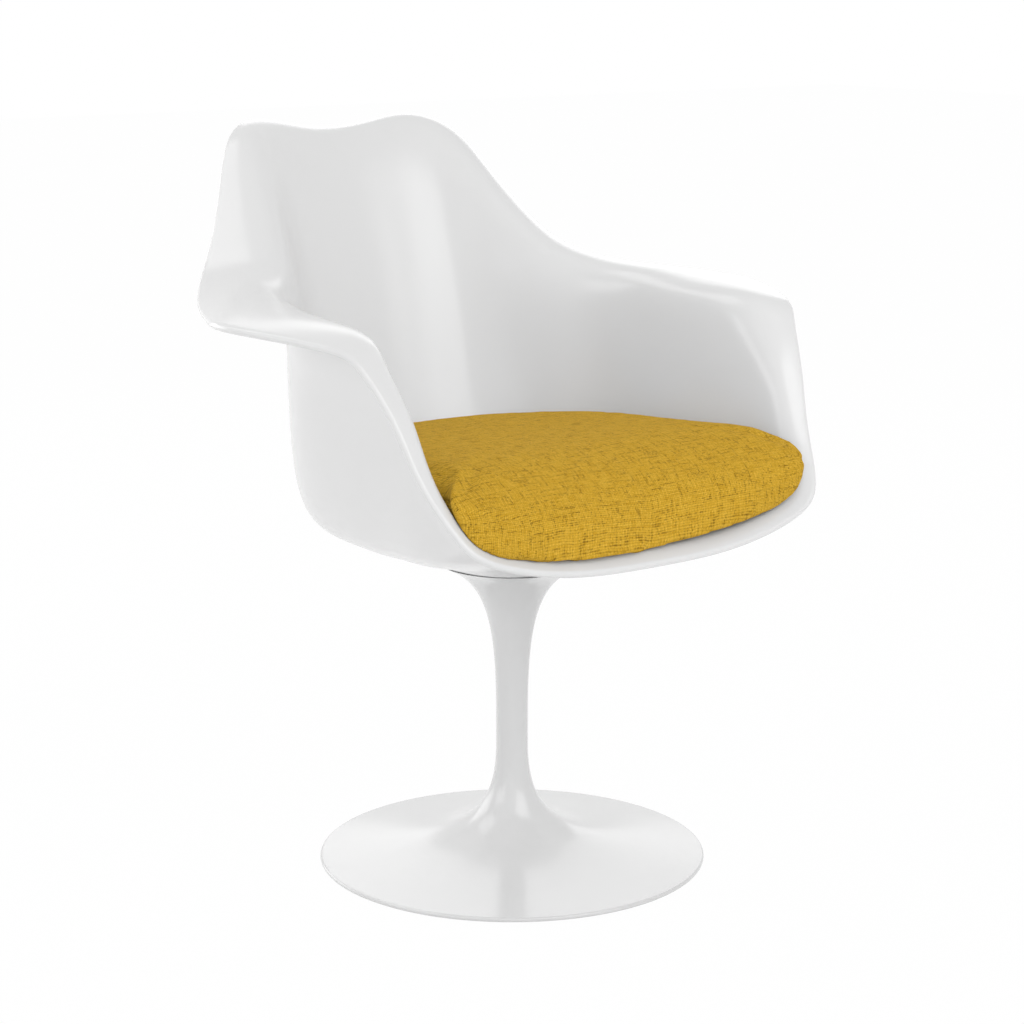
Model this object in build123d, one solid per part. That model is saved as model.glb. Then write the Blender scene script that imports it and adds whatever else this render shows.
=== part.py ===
from build123d import *
import os
from math import cos, floor, radians, sin, tan

import numpy as np

# Tulip armchair: a moulded bucket shell that turns on a cast trumpet pedestal, with a lift-off cushion.
# Origin on the floor at the stem's axis, +Z up, the sitter faces -Y. All sizes in millimetres.

# Pedestal casting
BASE_DIAMETER = 426.0
BASE_EDGE = 6.0
FOOT_WIDTH = 14.0
BELL_REACH = 141.0
BELL_SLOPE = 6.6
BELL_RISE = 99.0
BELL_TOP = 130.0
STEM_DIAMETER = 35.0
FLARE_START = 167.0
FLARE_RISE = 116.0
FLARE_REACH = 50.0
FLARE_SLOPE = 24.0
SEAM_HEIGHT = 335.0
COLLAR_DIAMETER = 158.0
PEDESTAL_WALL = 5.0
BOSS_DIAMETER = 48.0
BOSS_BOTTOM = 24.0
HOLLOW_TOP = 44.0

# Floor glide ring, set in a groove under the disc's edge
GLIDE_STAND = 1.0
GLIDE_WIDTH = 6.0
GLIDE_DEPTH = 1.5

# Swivel: spindle, bushes, thrust washer, flange and nut
SPINDLE_DIAMETER = 18.0
SPINDLE_THREAD = 16.0
SPINDLE_TAIL = 3.0
RUNNING_CLEARANCE = 0.05
FIXED_CLEARANCE = 0.05
END_FLOAT = 0.3
BORE_CLEARANCE = 1.5
BUSH_WALL = 3.0
UPPER_BUSH_LENGTH = 30.0
LOWER_BUSH_LENGTH = 28.0
BUSH_FLANGE_WIDTH = 6.0
BUSH_FLANGE_THICKNESS = 2.0
THRUST_WIDTH = 15.0
THRUST_THICKNESS = 2.5
SWIVEL_GAP = 1.2
FLANGE_DIAMETER = 108.0
FLANGE_THICKNESS = 8.0
FLANGE_CLEARANCE = 2.0
WASHER_DIAMETER = 32.0
WASHER_THICKNESS = 2.5
NUT_WIDTH = 24.0
NUT_HEIGHT = 8.0
INSERT_WALL = 2.4
INSERT_HEIGHT = 2.5

# Seat shell
SHELL_WIDTH = 680.0
SHELL_FRONT = 244.0
SHELL_BACK = 356.0
SHELL_RISE = 462.0
SHELL_THICKNESS = 8.0
PAN_FLOOR = 17.0
PAN_FLOOR_DIAMETER = 190.0
HUB_SLOPE = 22.0
HUB_OVERLAP = 14.0
RECESS_DEPTH = 9.0

# Bolts that clamp the pan between plate and flange
PLATE_DIAMETER = 104.0
PLATE_THICKNESS = 3.0
PLATE_CLEARANCE = 1.5
BOLT_COUNT = 4
BOLT_CIRCLE = 76.0
BOLT_START_ANGLE = 45.0
BOLT_DIAMETER = 8.0
BOLT_HOLE = 9.0
BOLT_HEAD_DIAMETER = 14.0
BOLT_HEAD_HEIGHT = 4.2
BOLT_CROWN_DIAMETER = 7.0
BOLT_HEAD_BULGE = 0.62
BOLT_END = 1.0
HEX_SOCKET = 5.0
HEX_SOCKET_DEPTH = 2.5
BOLT_WASHER_DIAMETER = 16.0
BOLT_WASHER_THICKNESS = 1.6

# Cushion and its closures
CUSHION_GAP = 3.5
CUSHION_SEAM = 112.0
CUSHION_CROWN = 28.0
COVER_THICKNESS = 1.5
FOAM_CLEARANCE = 0.5
TAPE_LENGTH = 50.0
TAPE_WIDTH = 20.0
TAPE_THICKNESS = 1.5
TAPE_MARGIN = 4.0
TAPE_CLEARANCE = 0.3
ZIP_LENGTH = 120.0
ZIP_BACK = 62.0
ZIP_TAPE_WIDTH = 10.0
ZIP_TAPE_THICKNESS = 0.8
ZIP_TEETH_WIDTH = 4.0
ZIP_TEETH_THICKNESS = 1.0
ZIP_PITCH = 3.0
ZIP_TOOTH_LENGTH = 1.8
ZIP_SLIDER_LENGTH = 10.0
ZIP_SLIDER_WIDTH = 7.0
ZIP_SLIDER_THICKNESS = 0.7
ZIP_PULL_LENGTH = 22.0
ZIP_PULL_WIDTH = 5.0
ZIP_CLEARANCE = 0.1

# Levels and radii that follow from the sizes
base_radius = BASE_DIAMETER / 2
stem_radius = STEM_DIAMETER / 2
collar_radius = COLLAR_DIAMETER / 2
spindle_radius = SPINDLE_DIAMETER / 2
thread_radius = SPINDLE_THREAD / 2
bush_radius = spindle_radius + RUNNING_CLEARANCE + BUSH_WALL
bore_radius = spindle_radius + BORE_CLEARANCE
flange_radius = FLANGE_DIAMETER / 2
plate_radius = PLATE_DIAMETER / 2
hub_bottom = SEAM_HEIGHT + SWIVEL_GAP
flange_bottom = hub_bottom - FLANGE_THICKNESS
dish_floor = flange_bottom - END_FLOAT - THRUST_THICKNESS
shoulder = BOSS_BOTTOM - BUSH_FLANGE_THICKNESS - END_FLOAT
nut_top = shoulder - WASHER_THICKNESS
nut_bottom = nut_top - NUT_HEIGHT
pan_floor = SEAM_HEIGHT + PAN_FLOOR
recess_floor = pan_floor - RECESS_DEPTH
plate_top = recess_floor + PLATE_THICKNESS
head_bottom = plate_top + BOLT_WASHER_THICKNESS
hook_top = pan_floor + TAPE_THICKNESS
loop_bottom = hook_top + TAPE_CLEARANCE
cushion_bottom = loop_bottom + TAPE_THICKNESS
cushion_seam = SEAM_HEIGHT + CUSHION_SEAM

# Table of offsets of the shell's middle surface, right half, from the front centre round to the back.
# Each rib runs outwards from the hub: belly, floor, low wall, high wall, ridge, brow, rim edge.
# Each point is (across, fore and aft, height above the seam).
RIBS = (
    # front
    (
        (0, -122, 25), (0, -165, 40), (0, -190, 48), (0, -207, 52),
        (0, -220, 51), (0, -231, 48), (0, -239, 43),
    ),
    # front_mid
    (
        (45, -118, 25), (73, -165, 41), (88, -191, 50), (97, -208, 55),
        (102, -221, 55), (106, -232, 53), (109, -240, 48),
    ),
    # front_corner
    (
        (85, -105, 25), (136, -153, 42), (163, -182, 55), (176, -202, 66),
        (184, -216, 72), (191, -227, 73), (199, -236, 69),
    ),
    # corner
    (
        (108, -80, 25), (170, -123, 41), (201, -155, 61), (211, -180, 85),
        (217, -201, 98), (224, -214, 102), (234, -221, 99),
    ),
    # arm_low
    (
        (118, -52, 25), (186, -90, 40), (219, -122, 70), (226, -150, 123),
        (230, -173, 147), (240, -184, 152), (252, -188, 149),
    ),
    # arm_mid
    (
        (122, -30, 25), (192, -58, 40), (225, -88, 80), (230, -120, 168),
        (234, -146, 201), (247, -158, 208), (265, -163, 205),
    ),
    # arm_high
    (
        (124, -12, 25), (195, -32, 40), (228, -58, 83), (231, -85, 200),
        (235, -108, 247), (254, -125, 257), (281, -133, 253),
    ),
    # arm_corner
    (
        (125, 5, 25), (197, -8, 40), (230, -25, 85), (231, -45, 230),
        (233, -66, 277), (262, -91, 284), (301, -96, 273),
    ),
    # arm_tip
    (
        (124, 25, 25), (197, 25, 41), (230, 20, 85), (230, 15, 245),
        (231, 6, 288), (287, 4, 291), (336, 8, 281),
    ),
    # arm
    (
        (121, 45, 25), (193, 60, 41), (226, 65, 85), (226, 66, 248),
        (226, 66, 295), (276, 75, 294), (321, 82, 280),
    ),
    # arm_rear
    (
        (112, 66, 25), (179, 95, 41), (209, 107, 85), (210, 109, 248),
        (210, 111, 298), (249, 138, 299), (286, 160, 283),
    ),
    # sweep
    (
        (98, 86, 25), (153, 126, 41), (178, 142, 87), (184, 144, 250),
        (187, 152, 313), (219, 193, 315), (249, 220, 301),
    ),
    # side_low
    (
        (80, 102, 25), (127, 150, 42), (150, 171, 90), (157, 177, 255),
        (161, 190, 340), (192, 229, 349), (216, 252, 336),
    ),
    # side_high
    (
        (60, 114, 25), (98, 168, 43), (119, 192, 93), (131, 206, 255),
        (140, 236, 375), (164, 268, 400), (183, 287, 388),
    ),
    # shoulder_side
    (
        (42, 122, 25), (69, 180, 44), (87, 207, 97), (103, 230, 260),
        (120, 276, 409), (139, 302, 442), (154, 318, 436),
    ),
    # shoulder
    (
        (26, 126, 25), (42, 186, 44), (54, 214, 99), (68, 245, 275),
        (88, 304, 423), (99, 330, 458), (109, 346, 458),
    ),
    # back_mid
    (
        (12, 128, 25), (20, 188, 45), (26, 217, 101), (33, 250, 280),
        (43, 309, 417), (48, 335, 451), (52, 351, 451),
    ),
    # back
    ((0, 128, 25), (0, 189, 45), (0, 218, 101), (0, 252, 280), (0, 310, 413), (0, 336, 446), (0, 352, 446)),
)

# Fineness of the shell's sections, and the small step that finds its directions
TURN_STEPS = 2
REACH_STEPS = 2
FRAME_STEP = 0.001

# Cushion form: how far along the ribs its edge reaches, on the first ribs from the front centre and on
# the rest, then the levels up to the seam and the (rise, share of plan) of the crown.
FRONT_STATIONS = (5.5, 5.2, 5.2, 5.3)
EDGE_STATION = 4.7
PAN_STEPS = 60
UNDER_LEVELS = (0.0, 0.09, 0.18, 0.30, 0.40, 0.48, 0.70, 1.0)
CROWN_LEVELS = ((0.55, 0.90), (0.85, 0.70), (1.0, 0.40))


def turned(*edges):
    """Solid of revolution about the stem's axis from a closed outline in the XZ plane."""
    return revolve(make_face(edges), axis=Axis.Z)


def at(radius, height):
    """Point of an outline at a radius and a height."""
    return (radius, 0, height)


def ring(outer, inner, bottom, height):
    """Flat ring or tube about the stem's axis."""
    tube = Cylinder(outer, height, align=(Align.CENTER, Align.CENTER, Align.MIN))
    tube -= Cylinder(inner, height, align=(Align.CENTER, Align.CENTER, Align.MIN))
    return Pos(0, 0, bottom) * tube


def disc(radius, bottom, height):
    """Plain disc about the stem's axis."""
    return Pos(0, 0, bottom) * Cylinder(radius, height, align=(Align.CENTER, Align.CENTER, Align.MIN))


def on_bolt_circle(shape):
    """Copies of a shape at the bolts' places."""
    return PolarLocations(BOLT_CIRCLE / 2, BOLT_COUNT, start_angle=BOLT_START_ANGLE) * shape


def make_pedestal():
    """Trumpet casting: disc foot, bell, stem and flared collar, bored for the spindle."""
    edge_height = BASE_EDGE - GLIDE_STAND
    lip = base_radius - edge_height / 2
    slope = radians(BELL_SLOPE)
    bell_handle = (lip - BELL_REACH * cos(slope), BASE_EDGE + BELL_REACH * sin(slope))
    flare = radians(FLARE_SLOPE)
    flare_handle = (collar_radius - FLARE_REACH * cos(flare), SEAM_HEIGHT - FLARE_REACH * sin(flare))
    dish_radius = flange_radius + FLANGE_CLEARANCE
    upper_pocket = dish_floor - UPPER_BUSH_LENGTH
    lower_pocket = BOSS_BOTTOM + LOWER_BUSH_LENGTH
    boss_radius = BOSS_DIAMETER / 2
    hollow_edge = base_radius - FOOT_WIDTH
    edge = ThreePointArc(
        at(lip, GLIDE_STAND), at(base_radius, GLIDE_STAND + edge_height / 2), at(lip, BASE_EDGE)
    )
    bell = Bezier(
        at(lip, BASE_EDGE), at(*bell_handle), at(stem_radius, BELL_TOP - BELL_RISE), at(stem_radius, BELL_TOP)
    )
    stem = Line(at(stem_radius, BELL_TOP), at(stem_radius, FLARE_START))
    collar = Bezier(
        at(stem_radius, FLARE_START), at(stem_radius, FLARE_START + FLARE_RISE),
        at(*flare_handle), at(collar_radius, SEAM_HEIGHT),
    )
    inside = Polyline(
        at(collar_radius, SEAM_HEIGHT), at(dish_radius, SEAM_HEIGHT), at(dish_radius, dish_floor),
        at(bush_radius, dish_floor), at(bush_radius, upper_pocket), at(bore_radius, upper_pocket),
        at(bore_radius, lower_pocket), at(bush_radius, lower_pocket), at(bush_radius, BOSS_BOTTOM),
        at(boss_radius, BOSS_BOTTOM), at(boss_radius, HOLLOW_TOP),
    )
    hollow = Bezier(
        at(boss_radius, HOLLOW_TOP), at(boss_radius, BOSS_BOTTOM),
        at(bell_handle[0], bell_handle[1] - PEDESTAL_WALL), at(hollow_edge, GLIDE_STAND),
    )
    foot = Line(at(hollow_edge, GLIDE_STAND), at(lip, GLIDE_STAND))
    casting = turned(edge, bell, stem, collar, inside, hollow, foot)
    groove_outer = lip - (lip - hollow_edge - GLIDE_WIDTH) / 2 + FIXED_CLEARANCE
    groove_inner = groove_outer - GLIDE_WIDTH - 2 * FIXED_CLEARANCE
    return casting - ring(groove_outer, groove_inner, GLIDE_STAND, GLIDE_DEPTH)


def make_floor_glide_ring():
    """Plastic ring that the chair stands on, proud of the disc's edge."""
    lip = base_radius - (BASE_EDGE - GLIDE_STAND) / 2
    hollow_edge = base_radius - FOOT_WIDTH
    outer = lip - (lip - hollow_edge - GLIDE_WIDTH) / 2
    return ring(outer, outer - GLIDE_WIDTH, 0, GLIDE_STAND + GLIDE_DEPTH)


def make_upper_bush():
    """Plain bush flush with the floor of the collar's dish."""
    outer = bush_radius - FIXED_CLEARANCE
    inner = spindle_radius + RUNNING_CLEARANCE
    return ring(outer, inner, dish_floor - UPPER_BUSH_LENGTH, UPPER_BUSH_LENGTH)


def make_lower_bush():
    """Flanged bush pressed into the boss from below."""
    outer = bush_radius - FIXED_CLEARANCE
    inner = spindle_radius + RUNNING_CLEARANCE
    sleeve = ring(outer, inner, BOSS_BOTTOM, LOWER_BUSH_LENGTH)
    flange_bottom_face = BOSS_BOTTOM - BUSH_FLANGE_THICKNESS
    return sleeve + ring(bush_radius + BUSH_FLANGE_WIDTH, inner, flange_bottom_face, BUSH_FLANGE_THICKNESS)


def make_thrust_washer():
    """Washer on the floor of the dish, under the flange."""
    return ring(bush_radius + THRUST_WIDTH, bush_radius, dish_floor, THRUST_THICKNESS)


def make_swivel_flange():
    """Steel disc under the shell with the spindle's seat and the bolts' threaded holes."""
    flange = ring(flange_radius, spindle_radius + FIXED_CLEARANCE, flange_bottom, FLANGE_THICKNESS)
    thread = disc(BOLT_DIAMETER / 2 + FIXED_CLEARANCE, flange_bottom, FLANGE_THICKNESS)
    return flange - on_bolt_circle(thread)


def make_spindle():
    """Shaft from the flange's top down to the threaded end under the base."""
    tail = nut_bottom - SPINDLE_TAIL
    shaft = disc(spindle_radius, shoulder, hub_bottom - shoulder)
    return shaft + disc(thread_radius, tail, shoulder - tail)


def make_retaining_washer():
    """Washer clamped between the spindle's shoulder and the nut."""
    return ring(WASHER_DIAMETER / 2, thread_radius + FIXED_CLEARANCE, nut_top, WASHER_THICKNESS)


def make_lock_nut():
    """Hexagon nut with a pocket at its lower end for the gripping ring."""
    across_corners = NUT_WIDTH / 2 / cos(radians(30))
    nut = extrude(RegularPolygon(across_corners, 6), NUT_HEIGHT)
    nut -= disc(thread_radius + FIXED_CLEARANCE, 0, NUT_HEIGHT)
    nut -= disc(thread_radius + INSERT_WALL + FIXED_CLEARANCE, 0, INSERT_HEIGHT)
    return Pos(0, 0, nut_bottom) * nut


def make_lock_nut_insert():
    """Nylon ring in the nut's pocket."""
    return ring(thread_radius + INSERT_WALL, thread_radius + FIXED_CLEARANCE, nut_bottom, INSERT_HEIGHT)


def stretched(point):
    """Offset-table point, stretched to the shell's outside sizes, as a place in the chair."""
    across = max(rib[-1][0] for rib in RIBS) + SHELL_THICKNESS / 2
    front = SHELL_THICKNESS / 2 - min(rib[-1][1] for rib in RIBS)
    back = max(rib[-1][1] for rib in RIBS) + SHELL_THICKNESS / 2
    rise = max(rib[-1][2] for rib in RIBS) + SHELL_THICKNESS / 2
    depth = SHELL_BACK / back if point[1] > 0 else SHELL_FRONT / front
    return (point[0] * SHELL_WIDTH / 2 / across, point[1] * depth, SEAM_HEIGHT + point[2] * SHELL_RISE / rise)


def control_net():
    """Control points round the shell from the front centre, hub first, for a surface through the ribs."""
    slope = radians(HUB_SLOPE)
    hub_radius = collar_radius - HUB_OVERLAP
    hub_height = hub_bottom + SHELL_THICKNESS / 2 / cos(slope) - HUB_OVERLAP * tan(slope)
    right = []
    for rib in RIBS:
        points = np.array([stretched(point) for point in rib])
        bearing = points[0, :2] / np.linalg.norm(points[0, :2])
        right.append(np.vstack([[*(bearing * hub_radius), hub_height], points]))
    left = [rib * (-1, 1, 1) for rib in reversed(right[1:-1])]
    through = np.array(right + left)
    count = len(through)
    here = np.eye(count)
    weights = (4 * here + np.roll(here, 1, axis=0) + np.roll(here, -1, axis=0)) / 6
    return np.linalg.solve(weights, through.reshape(count, -1)).reshape(through.shape)


def cubic(u):
    """Weights of four neighbouring control points on a smooth curve."""
    return np.array(((1 - u) ** 3, 3 * u**3 - 6 * u**2 + 4, 1 + 3 * u + 3 * u**2 - 3 * u**3, u**3)) / 6


def middle_point(net, turn, reach):
    """Point of the shell's middle surface, at a turn counted in ribs and a reach counted in rib points."""
    first = floor(turn)
    near = [net[(first + step) % len(net)] for step in (-1, 0, 1, 2)]
    rib = np.tensordot(cubic(turn - first), near, axes=1)
    rib = np.vstack([2 * rib[0] - rib[1], rib, 2 * rib[-1] - rib[-2]])
    span = min(int(reach), len(rib) - 4)
    return cubic(reach - span) @ rib[span:span + 4]


def surface_frame(net, turn, reach):
    """Middle-surface point, its outward normal and the direction along the rib."""
    last = net.shape[1] - 1
    around = middle_point(net, turn + FRAME_STEP, reach) - middle_point(net, turn - FRAME_STEP, reach)
    beyond = middle_point(net, turn, min(reach + FRAME_STEP, last))
    along = beyond - middle_point(net, turn, max(reach - FRAME_STEP, 0))
    normal = np.cross(around, along)
    return middle_point(net, turn, reach), normal / np.linalg.norm(normal), along / np.linalg.norm(along)


def shell_section(net, turn):
    """Closed section of the shell at one turn: outer skin, rounded edge, inner skin and hub end."""
    half = SHELL_THICKNESS / 2
    reaches = np.linspace(0, net.shape[1] - 1, REACH_STEPS * (net.shape[1] - 1) + 1)
    frames = [surface_frame(net, turn, reach) for reach in reaches]
    outer = [Vector(*(point + normal * half)) for point, normal, along in frames]
    inner = [Vector(*(point - normal * half)) for point, normal, along in frames]
    rim, normal, along = frames[-1]
    edge = ThreePointArc(outer[-1], Vector(*(rim + along * half)), inner[-1])
    return Wire([Spline(*outer), edge, Spline(*reversed(inner)), Line(inner[0], outer[0])])


def make_bucket(net):
    """Bucket lofted round one half of the ribs, with its mirror image."""
    turns = np.linspace(0, len(RIBS) - 1, TURN_STEPS * (len(RIBS) - 1) + 1)
    half = Solid.make_loft([shell_section(net, turn) for turn in turns], True)
    return half + mirror(half, about=Plane.YZ)


def make_seat_shell(net):
    """Moulded bucket, thickened at the hub to a flat floor with the recess and holes of the clamp."""
    floor_radius = PAN_FLOOR_DIAMETER / 2
    side_height = (hub_bottom + pan_floor) / 2
    hub = turned(
        Polyline(
            at(0, hub_bottom), at(collar_radius - HUB_OVERLAP / 4, hub_bottom), at(floor_radius, side_height),
            at(floor_radius, pan_floor), at(0, pan_floor), close=True,
        )
    )
    shell = make_bucket(net) + hub
    shell -= disc(collar_radius + HUB_OVERLAP / 2, hub_bottom - HUB_OVERLAP, HUB_OVERLAP)
    shell -= disc(plate_radius + PLATE_CLEARANCE, recess_floor, RECESS_DEPTH)
    return shell - on_bolt_circle(disc(BOLT_HOLE / 2, hub_bottom, recess_floor - hub_bottom))


def make_clamp_plate():
    """Steel disc in the pan's recess."""
    hole = disc(BOLT_HOLE / 2, recess_floor, PLATE_THICKNESS)
    return disc(plate_radius, recess_floor, PLATE_THICKNESS) - on_bolt_circle(hole)


def make_bolt_washers():
    """Washers under the bolt heads."""
    return on_bolt_circle(ring(BOLT_WASHER_DIAMETER / 2, BOLT_HOLE / 2, plate_top, BOLT_WASHER_THICKNESS))


def make_seat_bolts():
    """Button-head bolts with a hexagon socket, ending just inside the flange."""
    end = flange_bottom + BOLT_END
    shank = disc(BOLT_DIAMETER / 2, end, head_bottom - end)
    head_radius = BOLT_HEAD_DIAMETER / 2
    crown = BOLT_CROWN_DIAMETER / 2
    top = head_bottom + BOLT_HEAD_HEIGHT
    head = turned(
        Polyline(at(0, top), at(0, head_bottom), at(head_radius, head_bottom)),
        ThreePointArc(
            at(head_radius, head_bottom),
            at(
                crown + (head_radius - crown) * BOLT_HEAD_BULGE,
                head_bottom + BOLT_HEAD_HEIGHT * BOLT_HEAD_BULGE,
            ),
            at(crown, top),
        ),
        Line(at(crown, top), at(0, top)),
    )
    socket = extrude(RegularPolygon(HEX_SOCKET / 2 / cos(radians(30)), 6), HEX_SOCKET_DEPTH)
    head -= Pos(0, 0, top - HEX_SOCKET_DEPTH) * socket
    return on_bolt_circle(shank + head)


def tape_pair(bottom):
    """Two tape strips beside the recess, left and right."""
    centre = plate_radius + PLATE_CLEARANCE + TAPE_MARGIN + TAPE_WIDTH / 2
    strip = Box(TAPE_WIDTH, TAPE_LENGTH, TAPE_THICKNESS, align=(Align.CENTER, Align.CENTER, Align.MIN))
    return [Pos(side * centre, 0, bottom) * strip for side in (-1, 1)]


def pan_skin(net):
    """Inner skin of the pan on every rib, from the hub out to the cushion's edge."""
    skin = []
    for turn in range(len(net)):
        from_front = min(turn, len(net) - turn)
        edge = FRONT_STATIONS[from_front] if from_front < len(FRONT_STATIONS) else EDGE_STATION
        frames = [surface_frame(net, turn, reach) for reach in np.linspace(0, edge, PAN_STEPS + 1)]
        skin.append([point - normal * (SHELL_THICKNESS / 2) for point, normal, along in frames])
    return skin


def pan_reach(line, height):
    """Plan point where one line of the inner skin reaches a height, or where it ends."""
    for low, high in zip(line, line[1:]):
        if high[2] >= height:
            return (low + (high - low) * ((height - low[2]) / (high[2] - low[2])))[:2]
    return line[-1][:2]


def cushion_plan(skin, height, gap):
    """Plan of the cushion where the pan's skin lies a gap below a height, drawn in by that gap."""
    plan = []
    for line in skin:
        reach = pan_reach(line, height - gap)
        plan.append(reach * (1 - gap / np.linalg.norm(reach)))
    return plan


def level_outline(plan, height, share=1.0):
    """Closed chain of arcs through the points of a plan at one height."""
    points = [Vector(*(place * share), height) for place in plan]
    arcs = [ThreePointArc(points[-1], points[0], points[1])]
    for first in range(1, len(points) - 1, 2):
        arcs.append(ThreePointArc(points[first], points[first + 1], points[first + 2]))
    return Wire(arcs)


def cushion_halves(skin, inset):
    """Cushion body below and above its seam line, drawn in all round by an inset."""
    gap = CUSHION_GAP + inset
    bottom = cushion_bottom + inset
    lower = []
    for share in UNDER_LEVELS:
        height = bottom + (cushion_seam - bottom) * share
        lower.append(level_outline(cushion_plan(skin, height, gap), height))
    plan = cushion_plan(skin, cushion_seam, gap)
    upper = [level_outline(plan, cushion_seam)]
    for rise, share in CROWN_LEVELS:
        upper.append(level_outline(plan, cushion_seam + (CUSHION_CROWN - inset) * rise, share))
    return Solid.make_loft(lower, True), Solid.make_loft(upper)


def make_cushion(net):
    """Foam block and the two panels of its cover, which meet at the seam line."""
    skin = pan_skin(net)
    lower, upper = cushion_halves(skin, 0)
    lower_space, upper_space = cushion_halves(skin, COVER_THICKNESS)
    foam_lower, foam_upper = cushion_halves(skin, COVER_THICKNESS + FOAM_CLEARANCE)
    return foam_lower + foam_upper, upper - upper_space, lower - lower_space


def make_zip():
    """Closure across the rear of the cushion's underside: tapes, teeth and slider with its pull."""
    flat = (Align.CENTER, Align.CENTER, Align.MAX)
    tape = Box(ZIP_LENGTH, ZIP_TAPE_WIDTH, ZIP_TAPE_THICKNESS, align=flat)
    spread = (ZIP_TAPE_WIDTH + ZIP_CLEARANCE) / 2
    tapes = [Pos(0, ZIP_BACK + side * spread, cushion_bottom) * tape for side in (-1, 1)]
    teeth_top = cushion_bottom - ZIP_TAPE_THICKNESS
    tooth = Box(ZIP_TOOTH_LENGTH, ZIP_TEETH_WIDTH, ZIP_TEETH_THICKNESS, align=flat)
    count = int(ZIP_LENGTH / ZIP_PITCH) - 1
    first = -ZIP_PITCH * (count - 1) / 2
    teeth = [Pos(first + ZIP_PITCH * i, ZIP_BACK, teeth_top) * tooth for i in range(count)]
    slider_top = teeth_top - ZIP_TEETH_THICKNESS - ZIP_CLEARANCE
    slider_x = ZIP_LENGTH / 2 - ZIP_SLIDER_LENGTH
    body = Box(ZIP_SLIDER_LENGTH, ZIP_SLIDER_WIDTH, ZIP_SLIDER_THICKNESS, align=flat)
    pull = Box(ZIP_PULL_LENGTH, ZIP_PULL_WIDTH, ZIP_SLIDER_THICKNESS, align=flat)
    slider = Pos(slider_x, ZIP_BACK, slider_top) * body
    slider += Pos(slider_x - ZIP_PULL_LENGTH / 2, ZIP_BACK, slider_top) * pull
    return tapes, teeth, slider


net = control_net()
foam, top_panel, under_panel = make_cushion(net)
zip_tapes, zip_teeth, zip_slider = make_zip()
parts = {
    "pedestal": make_pedestal(),
    "floor_glide_ring": make_floor_glide_ring(),
    "upper_bush": make_upper_bush(),
    "lower_bush": make_lower_bush(),
    "thrust_washer": make_thrust_washer(),
    "seat_shell": make_seat_shell(net),
    "swivel_flange": make_swivel_flange(),
    "spindle": make_spindle(),
    "retaining_washer": make_retaining_washer(),
    "lock_nut": make_lock_nut(),
    "lock_nut_insert": make_lock_nut_insert(),
    "clamp_plate": make_clamp_plate(),
    "seat_bolts": make_seat_bolts(),
    "bolt_washers": make_bolt_washers(),
    "hook_tapes": tape_pair(pan_floor),
    "cushion_foam": foam,
    "cushion_top_panel": top_panel,
    "cushion_under_panel": under_panel,
    "zip_tape": zip_tapes,
    "zip_teeth": zip_teeth,
    "zip_slider": zip_slider,
    "loop_tapes": tape_pair(loop_bottom),
}
os.makedirs("parts", exist_ok=True)
for name, shape in parts.items():
    solids = shape if isinstance(shape, (list, ShapeList)) else shape.solids()
    export_step(Compound(children=list(solids)), f"parts/{name}.step")
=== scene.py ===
import math

import bmesh
import bpy
import numpy as np
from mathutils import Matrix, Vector


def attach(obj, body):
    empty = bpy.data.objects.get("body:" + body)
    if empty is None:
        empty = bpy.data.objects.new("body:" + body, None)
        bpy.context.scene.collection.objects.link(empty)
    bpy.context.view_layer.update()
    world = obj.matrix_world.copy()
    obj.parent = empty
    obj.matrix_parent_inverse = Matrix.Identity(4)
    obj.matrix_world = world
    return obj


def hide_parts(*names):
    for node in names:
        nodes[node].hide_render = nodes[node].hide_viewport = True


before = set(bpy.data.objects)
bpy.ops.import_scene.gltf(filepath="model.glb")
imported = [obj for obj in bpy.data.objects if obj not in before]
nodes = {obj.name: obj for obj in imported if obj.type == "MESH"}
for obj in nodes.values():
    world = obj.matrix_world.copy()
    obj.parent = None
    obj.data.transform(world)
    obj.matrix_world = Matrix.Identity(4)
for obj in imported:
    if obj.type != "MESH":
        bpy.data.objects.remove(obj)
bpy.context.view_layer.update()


# Pedestal: one trumpet-shaped casting with a thin round foot, a slim stem and a flared collar.
# It is hollow under the foot, bored for the spindle, and sprayed satin white after casting.
def new_finish(name, color, roughness):
    """Plain material with its shader, ready for a pattern."""
    material = bpy.data.materials.new(name)
    material.use_nodes = True
    shader = material.node_tree.nodes["Principled BSDF"]
    shader.inputs["Base Color"].default_value = (*color, 1)
    shader.inputs["Roughness"].default_value = roughness
    return material, shader


def add_node(material, kind, **settings):
    """Node of a material with its settings and input values."""
    node = material.node_tree.nodes.new(kind)
    for name, value in settings.items():
        if name in node.inputs:
            node.inputs[name].default_value = value
        else:
            setattr(node, name, value)
    return node


def wire(material, source, target):
    """Joins an output to an input."""
    material.node_tree.links.new(source, target)


def cloudy(material, shader, light, dark, size, spread):
    """Faint cloudy change of colour and gloss, as on a sprayed or moulded surface."""
    place = add_node(material, "ShaderNodeTexCoord")
    cloud = add_node(material, "ShaderNodeTexNoise", Scale=size, Detail=4.0, Roughness=0.6)
    wire(material, place.outputs["Object"], cloud.inputs["Vector"])
    tint = add_node(material, "ShaderNodeMix", data_type="RGBA")
    tint.inputs[6].default_value = (*dark, 1)
    tint.inputs[7].default_value = (*light, 1)
    wire(material, cloud.outputs["Fac"], tint.inputs["Factor"])
    wire(material, tint.outputs[2], shader.inputs["Base Color"])
    gloss = add_node(material, "ShaderNodeMapRange")
    gloss.inputs["To Min"].default_value = spread[0]
    gloss.inputs["To Max"].default_value = spread[1]
    wire(material, cloud.outputs["Fac"], gloss.inputs["Value"])
    wire(material, gloss.outputs["Result"], shader.inputs["Roughness"])
    return place


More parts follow.
